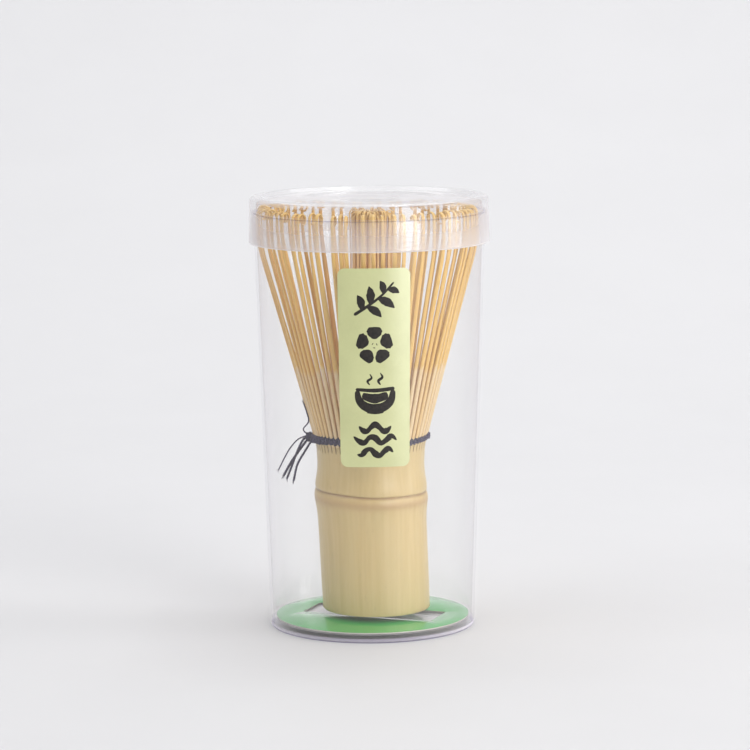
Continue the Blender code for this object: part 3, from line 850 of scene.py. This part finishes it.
def make_handle(material):
    """The cane: outer skin with its node and kerfs, cut foot, and a bore closed by the node's wall."""
    turns = np.linspace(0, TAU, CANE_COLUMNS, endpoint=False)
    sections = cane_sections()
    profile = np.vstack([points for points, _, _ in sections])
    skin = np.concatenate([np.full(len(points), is_skin) for points, is_skin, _ in sections])
    cut = np.concatenate([np.full(len(points), is_cut) for points, _, is_cut in sections])
    radius = np.repeat(profile[:, :1], CANE_COLUMNS, 1)
    height = np.repeat(profile[:, 1:], CANE_COLUMNS, 1)
    on_skin = skin[:, None]
    radius[skin] *= 1 + 0.004 * np.cos(2 * turns + 0.6) + 0.0025 * np.cos(3 * turns + 2.0)
    # The node's line stands higher on the left and sags towards the front.
    tilt = (-0.55 * np.cos(turns) + 0.35 * np.sin(turns) + 0.07 * np.sin(5 * turns)) * MM
    groove = bell(height, GROOVE_Z, 0.26 * MM) * on_skin
    ridge = bell(height, RIDGE_Z, 1.3 * MM) * on_skin
    radius -= 0.16 * MM * groove
    radius += 0.05 * MM * bell(height, GROOVE_Z + 0.45 * MM, 0.35 * MM) * on_skin
    radius[skin] += 0.012 * MM * np.sin(40 * turns + 3 * np.sin(7 * turns))
    kerf = kerf_depths(height) * on_skin
    radius -= 0.75 * MM * kerf
    height = height + tilt * bell(height, GROOVE_Z, 5.0 * MM) * on_skin
    x = radius * np.cos(turns) + WHISK_AXIS.x
    x += CROOK * np.clip(36 * MM - height, 0, None) / (36 * MM - HANDLE_FOOT_Z)
    points = np.stack([x, radius * np.sin(turns) + WHISK_AXIS.y, height], -1)
    mesh = smooth_mesh("cane", points, grid_faces(len(profile), CANE_COLUMNS, wrap=True, flip=True), 38)
    store(mesh, "groove", groove ** 0.45)
    store(mesh, "ridge", ridge)
    # These weights also lay the painted shade down the saw cuts, and a little onto the columns beside
    # them.
    store(mesh, "kerf", np.maximum(kerf, 0.35 * np.roll(kerf, 1, 1) + 0.35 * np.roll(kerf, -1, 1)))
    store(mesh, "cut_end", np.repeat(cut[:, None], CANE_COLUMNS, 1))
    weld(mesh)
    place("cane_handle", mesh, material, "bamboo", ["handle"], "whisk")


# ---- crown

def tine_section():
    """Corners of a tine's cross-section, as shares of its half width and half thickness."""
    return np.array([(-0.78, 1.0), (0.0, 1.14), (0.78, 1.0), (1.0, 0.55), (1.0, -0.6),
                     (0.8, -1.0), (-0.8, -1.0), (-1.0, -0.6), (-1.0, 0.55)])


def add_tine(bundle, path, turn, width, thick, twist, tone):
    """Sweeps one tine along a path; turn is the side of the whisk that its skin faces."""
    along_ring = np.array([-math.sin(turn), math.cos(turn), 0.0])
    tangent = unit_tangents(path)
    side = along_ring - tangent * (tangent @ along_ring)[:, None]
    side /= np.linalg.norm(side, axis=1, keepdims=True)
    face = np.cross(side, tangent)
    cos, sin = np.cos(twist)[:, None], np.sin(twist)[:, None]
    side, face = side * cos + face * sin, face * cos - side * sin
    section = tine_section()
    points = (path[:, None]
              + side[:, None] * (section[None, :, :1] * width[:, None, None] / 2)
              + face[:, None] * (section[None, :, 1:] * thick[:, None, None] / 2))
    steps = lengths_along(path)[:, None]
    outer = np.clip(section[:, 1] * 0.5 + 0.5, 0, 1) ** 2
    bundle.add(points, flip=True, along=steps / steps[-1], outer=outer[None, :], tone=tone)


def crown_path(r, z, turn, drift, lean):
    """Puts a tine's (r, z) line on its side of the whisk; drift is sideways, lean is along X."""
    height = np.clip((z - TINE_ROOT_Z) / (CASE_TOP - TINE_ROOT_Z), 0, None)
    x = WHISK_AXIS.x + r * math.cos(turn) - drift * math.sin(turn) + lean * height
    y = WHISK_AXIS.y + r * math.sin(turn) + drift * math.cos(turn)
    return np.stack([x, y, z], -1)


def outer_line(lean, extra, curl_turn, curl_r):
    """The line of an outer tine in (r, z): straight flare, bend to upright, then an inward curl."""
    curl_run = curl_turn * curl_r
    runs = np.array([FLARE_RUN, BEND_RUN, UPRIGHT_RUN + extra, curl_run])
    total = runs.sum()
    s = np.linspace(0, total, 500)
    angle = np.interp(s, [0, runs[0], runs[0] + runs[1], total - curl_run, total],
                      [lean, lean, 0.02, 0.0, -curl_turn])
    step = s[1]
    r = TINE_ROOT_R + np.cumsum(np.sin(angle)) * step
    z = TINE_ROOT_Z + np.cumsum(np.cos(angle)) * step
    curl_share = (total - curl_run) / total
    keep = np.r_[np.linspace(0, curl_share, TINE_ROWS - 22), np.linspace(curl_share, 1, 23)[1:]]
    share = s / total
    return np.interp(keep, share, r), np.interp(keep, share, z), keep


def clump_drifts():
    """How far each outer tine's tip leans towards its neighbours, so that they stand in clumps."""
    drifts = np.zeros(TINE_COUNT)
    first = 0
    spacing = TINE_PITCH * 29.5 * MM
    while first < TINE_COUNT:
        size = min(int(RNG.choice([1, 2, 2, 2, 3])), TINE_COUNT - first)
        place = np.arange(size) - (size - 1) / 2
        drifts[first:first + size] = -place * spacing * RNG.uniform(0.15, 0.42)
        drifts[first:first + size] += RNG.normal(0, 0.22) * MM
        first += size
    return drifts + RNG.normal(0, 0.14, TINE_COUNT) * MM


def make_outer_tines(material):
    drifts = clump_drifts()
    for number, joint in enumerate(FLEX_JOINTS):
        pos = joint["pos_m"]
        middle = math.atan2(pos[1] - WHISK_AXIS.y, pos[0] - WHISK_AXIS.x)
        bundle = Bundle()
        for k in range(TINES_PER_GROUP):
            turn = middle + (k - (TINES_PER_GROUP - 1) / 2) * TINE_PITCH
            # The tines at the front stand a little taller.
            taller = 0.5 * max(0.0, -math.sin(turn))
            r, z, share = outer_line(FLARE_LEAN + math.radians(RNG.normal(0, 0.22)),
                                     (taller + RNG.uniform(-0.5, 0.2)) * MM,
                                     math.radians(RNG.uniform(190, 300)),
                                     RNG.uniform(1.15, 1.6) * MM)
            sway = np.clip((share - 0.10) / 0.75, 0, 1)
            sway = sway * sway * (3 - 2 * sway)
            drift = drifts[number * TINES_PER_GROUP + k] * sway
            drift = drift + RNG.normal(0, 0.10) * MM * np.sin(share * 6.0) * sway
            width = np.interp(share, [0, 0.3, 0.66, 0.85, 1], [1.20, 1.32, 1.24, 0.96, 0.80])
            width = width * RNG.uniform(0.88, 1.12) * MM
            thick = np.interp(share, [0, 0.25, 0.7, 0.9, 1], [1.0, 0.75, 0.50, 0.38, 0.45])
            thick = thick * RNG.uniform(0.9, 1.1) * MM
            twist = np.radians(RNG.normal(0, 14)) * sway
            path = crown_path(r, z, turn, drift, CROWN_LEAN)
            add_tine(bundle, path, turn, width, thick, twist, RNG.random())
        name = f"tines_{number + 1:02d}"
        piece = place(name, bundle.mesh(name, 50), material, "tine_bamboo", ["outer_" + name])
        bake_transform(piece)


def make_inner_tines(material):
    """Fine tines that lean in from the roots and stand together in the middle."""
    bundle = Bundle()
    for k in range(TINE_COUNT):
        turn = TAU * (k + 0.5) / TINE_COUNT
        inside = RNG.uniform(0.60, 1.0)
        knots = [(12.8, 49.0), (12.6, 53.0), (11.4, 60.0), (9.0, 70.0), (7.3 * inside + 0.6, 80.0),
                 (6.2 * inside + 0.3, 90.0), (5.9 * inside, 100.0), (6.1 * inside, 108.0),
                 (6.3 * inside, 113.6 + RNG.normal(0, 0.5))]
        line = smooth_line(knots, 36) * MM
        curl = RNG.uniform(0.9, 1.4) * MM
        turns = np.linspace(0, math.radians(RNG.uniform(150, 260)), 14)[1:]
        tip = line[-1]
        curled = np.stack([tip[0] - curl * (1 - np.cos(turns)), tip[1] + curl * np.sin(turns)], -1)
        line = np.vstack([line, curled])
        share = np.linspace(0, 1, len(line))
        sway = share ** 1.2
        drift = (RNG.normal(0, 0.45) * sway + RNG.normal(0, 0.15) * np.sin(share * 6)) * MM
        width = np.interp(share, [0, 0.3, 0.7, 1], [0.80, 0.72, 0.62, 0.55])
        width = width * RNG.uniform(0.85, 1.1) * MM
        thick = np.interp(share, [0, 0.3, 0.7, 1], [0.70, 0.45, 0.32, 0.30]) * MM
        twist = np.radians(RNG.normal(0, 22)) * sway
        path = crown_path(line[:, 0], line[:, 1], turn, drift, 0.7 * MM)
        add_tine(bundle, path, turn, width, thick, twist, RNG.random())
    place("inner_crown", bundle.mesh("inner_crown", 50), material, "tine_bamboo", ["inner_tines"],
          "whisk")


# ---- thread

def add_ply(bundle, path, spread, pitch, phase, ply_r, plies, sides=7, nook=0.0):
    """Twists plies round a path into one thread."""
    normals, binormals = moving_normals(path)
    along = lengths_along(path)
    for ply in range(plies):
        turn = TAU * along / pitch + phase + TAU * ply / plies
        line = path + (normals * np.cos(turn)[:, None] + binormals * np.sin(turn)[:, None]) * spread
        add_cord(bundle, line, ply_r, sides, nook)


def make_binding(material):
    """Turns of thread laid round the tine roots: they sink into each kerf and swell over each tine."""
    bundle = Bundle()
    turns = np.linspace(0, TAU, TINE_COUNT * 12 + 1)
    over = np.cos(turns * TINE_COUNT)
    uneven = 0.5 + 0.5 * np.sin(turns * 23 + 2 * np.sin(turns * 5))
    # The band is deeper on the knot's side, and it rises and falls round the whisk.
    deep = 0.74 - 0.24 * np.cos(turns)
    rise = 0.28 * np.cos(3 * turns)
    for level, height in enumerate((-0.75, -0.25, 0.25, 0.75)):
        sink = 0.32 + 0.14 * uneven
        radius = THREAD_R - 0.10 * MM * np.cos(turns) + (0.02 - sink * over) * MM
        peak = (0.20, 0.05, 0.12, 0.42)[level] * over * (0.6 + 0.6 * uneven)
        z = THREAD_Z + (height * deep + rise + peak + 0.05 * np.sin(13 * turns + level)) * MM
        line = np.stack([WHISK_AXIS.x + radius * np.cos(turns),
                         WHISK_AXIS.y + radius * np.sin(turns), z], -1)
        # The thread's painted shade falls where it sinks into each kerf.
        add_ply(bundle, line, 0.13 * MM, TINE_PITCH * THREAD_R, level * 1.1, 0.20 * MM, 2, 6,
                nook=np.clip(over, 0, 1)[:, None])
    place("binding_cord", bundle.mesh("binding", 70), material, "dark_thread",
          ["binding_thread"], "whisk")


def make_knot(material):
    """A tight overhand knot in two strands, where the binding is tied off."""
    centre = (KNOT_LOW + KNOT_HIGH) / 2
    bundle = Bundle()
    t = np.linspace(0, TAU, 160)
    for lap, size in enumerate((0.50, 0.36)):
        x = np.sin(t) + 2 * np.sin(2 * t)
        y = np.cos(t) - 2 * np.cos(2 * t)
        z = -np.sin(3 * t)
        path = np.stack([z * 0.95, x * 0.70, y * 0.80], -1) * size * MM
        path = path + np.array(centre) + np.array([0.75 * MM, 0, -0.1 * MM])
        add_cord(bundle, path, (0.40 - 0.05 * lap) * MM, 9)
    place("knot_loops", bundle.mesh("knot", 70), material, "dark_thread", ["thread_knot"], "whisk")


def strand_routes():
    """Knots of the loose ends' lines in millimetres: x, y, and z counted from the thread's height."""
    return [
        [(-16.6, -1.6, 0.4), (-18.2, -1.7, 0.2), (-20.3, -2.2, -0.7), (-22.3, -2.8, -2.8),
         (-24.0, -3.2, -5.6), (-25.6, -3.4, -8.8)],
        [(-17.0, -0.4, -0.2), (-18.1, -0.5, -1.5), (-20.2, -0.8, -4.3), (-22.3, -1.1, -7.3),
         (-24.4, -1.3, -11.0)],
        [(-17.3, 0.3, 0.0), (-18.9, 0.2, -1.2), (-20.6, -1.0, -4.5), (-22.0, -2.0, -8.0),
         (-23.4, -2.4, -11.5)],
        [(-15.7, -3.6, 0.1), (-16.6, -3.8, -1.0), (-18.2, -4.0, -3.5), (-20.4, -4.2, -7.3),
         (-21.5, -4.4, -11.8)],
        [(-16.9, -0.9, 0.4), (-18.2, -1.0, 1.1), (-18.7, -1.2, 2.2), (-17.6, -2.0, 3.7),
         (-17.2, -3.0, 5.0), (-17.8, -4.2, 7.6), (-18.5, -5.0, 10.0)],
    ]


def make_strands(material):
    for number, knots in enumerate(strand_routes()):
        bundle = Bundle()
        path = smooth_line(knots, 110) * MM + np.array([0, 0, THREAD_Z])
        fat = (0.70, 1.25, 1.15, 1.1, 0.68)[number]
        add_ply(bundle, path, 0.13 * fat * MM, 1.5 * MM, number * 1.3, 0.19 * fat * MM, 2)
        end, before = path[-1], path[-6]
        way = (end - before) / np.linalg.norm(end - before)
        for _ in range(9):
            start = end - way * 0.2 * MM + RNG.normal(0, 0.08, 3) * MM
            stop = end + way * RNG.uniform(0.3, 0.9) * MM + RNG.normal(0, 0.22, 3) * MM
            hair = smooth_line([start, (start + stop) / 2 + RNG.normal(0, 0.05, 3) * MM, stop], 6)
            add_cord(bundle, hair, 0.035 * MM, 5)
        name = f"thread_tail_{number + 1}"
        place(name, bundle.mesh(name, 70), material, "dark_thread", [f"thread_end_{number + 1}"],
              "whisk")


# ---- stage, light, camera

def make_stage():
    """A pale table top that curves up into a pale wall behind."""
    bends = np.radians(np.linspace(5, 90, 18))
    line = [(y, 0.0) for y in np.r_[-2.2, np.linspace(-0.4, SWEEP_START, 8)]]
    line += [(SWEEP_START + SWEEP_R * math.sin(a), SWEEP_R * (1 - math.cos(a))) for a in bends]
    line += [(SWEEP_START + SWEEP_R, SWEEP_R + 1.6)]
    wide = np.linspace(-2.6, 2.6, 9)
    points = [[(x, y, z) for x in wide] for y, z in line]
    mesh = smooth_mesh("stage", points, grid_faces(len(line), len(wide)))
    mesh.materials.append(table_material())
    new_object("stage", mesh)


def add_lamp(name, place_m, target, size, power, colour=(1, 1, 1)):
    """A rectangular softbox, aimed from its place at a target; lengths in metres, power in watts."""
    lamp = bpy.data.lights.new(name, "AREA")
    lamp.shape = "RECTANGLE"
    lamp.size, lamp.size_y = size
    lamp.energy = power
    lamp.color = colour
    obj = new_object(name, lamp)
    obj.location = place_m
    way = Vector(target) - Vector(place_m)
    obj.rotation_euler = way.to_track_quat("-Z", "Y").to_euler()


def add_strip(name, turn_deg, width, height, power):
    """A warm upright softbox beside the table; its turn is counted from the camera to the right."""
    turn = math.radians(turn_deg)
    middle = height / 2 + STRIP_CLEARANCE
    place_m = (STRIP_DISTANCE * math.sin(turn), -STRIP_DISTANCE * math.cos(turn), middle)
    add_lamp(name, place_m, (0, 0, middle), (width, height), power, (1.0, 0.985, 0.965))


def make_world():
    """Even light from all round; a camera looking past the table sees a pale wall instead."""
    world = bpy.data.worlds.new("studio")
    bpy.context.scene.world = world
    world.use_nodes = True
    nodes, links = world.node_tree.nodes, world.node_tree.links
    light = nodes["Background"]
    light.inputs["Color"].default_value = (0.985, 0.985, 1.0, 1.0)
    light.inputs["Strength"].default_value = 0.445
    wall = nodes.new("ShaderNodeBackground")
    wall.inputs["Color"].default_value = (*srgb(232, 232, 235), 1.0)
    path = nodes.new("ShaderNodeLightPath")
    mixed = nodes.new("ShaderNodeMixShader")
    links.new(path.outputs["Is Camera Ray"], mixed.inputs[0])
    links.new(light.outputs[0], mixed.inputs[1])
    links.new(wall.outputs[0], mixed.inputs[2])
    links.new(mixed.outputs[0], nodes["World Output"].inputs["Surface"])


def make_lamps():
    add_strip("front_strip", 38, 0.46, 0.8, 6.4)
    add_strip("right_key", 88, 0.34, 0.9, 3.6)
    add_lamp("high_right", (0.85, -0.1, 0.95), (0, 0, 0.06), (0.8, 0.8), 0.8, (1.0, 0.99, 0.98))
    add_lamp("left_fill", (-1.0, -0.35, 1.0), (0, 0, 0.04), (1.2, 1.0), 5.0)
    add_lamp("overhead", (0.0, 0.42, 0.88), (0, 0.42, 0), (1.2, 0.5), 3.5)
    add_lamp("rim_strip", (0.25, 0.02, 1.1), (0.05, 0, 0.1), (0.8, 0.16), 2.2)


def make_camera():
    data = bpy.data.cameras.new("camera")
    data.sensor_width = 36.0
    data.lens = LENS
    data.clip_start = 0.01
    camera = new_object("camera", data)
    tilt = Matrix.Rotation(math.radians(90 - CAMERA_DIP_DEG), 4, "X")
    roll = Matrix.Rotation(math.radians(CAMERA_ROLL_DEG), 4, "Z")
    camera.matrix_world = Matrix.Translation(CAMERA_PLACE) @ tilt @ roll
    bpy.context.scene.camera = camera


def make_object():
    outer = tine_material("outer_tine_bamboo", srgb(234, 190, 98), srgb(226, 182, 90),
                          srgb(234, 204, 152))
    # The inner tines' skin and side colours are painted lighter than the outer tines', to make up for
    # the shade that the outer crown throws on them.
    inner = tine_material("inner_tine_bamboo", srgb(248, 212, 150), srgb(238, 190, 112),
                          srgb(220, 184, 130))
    thread = thread_material()
    make_cup(clear_material())
    make_lid(lid_material())
    make_card(card_material())
    make_label(label_material())
    make_motifs(ink_material())
    make_handle(cane_material())
    make_outer_tines(outer)
    make_inner_tines(inner)
    make_binding(thread)
    make_knot(thread)
    make_strands(thread)


make_object()
make_stage()
make_world()
make_lamps()
make_camera()
bpy.context.scene.view_settings.view_transform = "Standard"
light_paths = bpy.context.scene.cycles
light_paths.transparent_max_bounces = 32
light_paths.transmission_bounces = 24
light_paths.max_bounces = 24
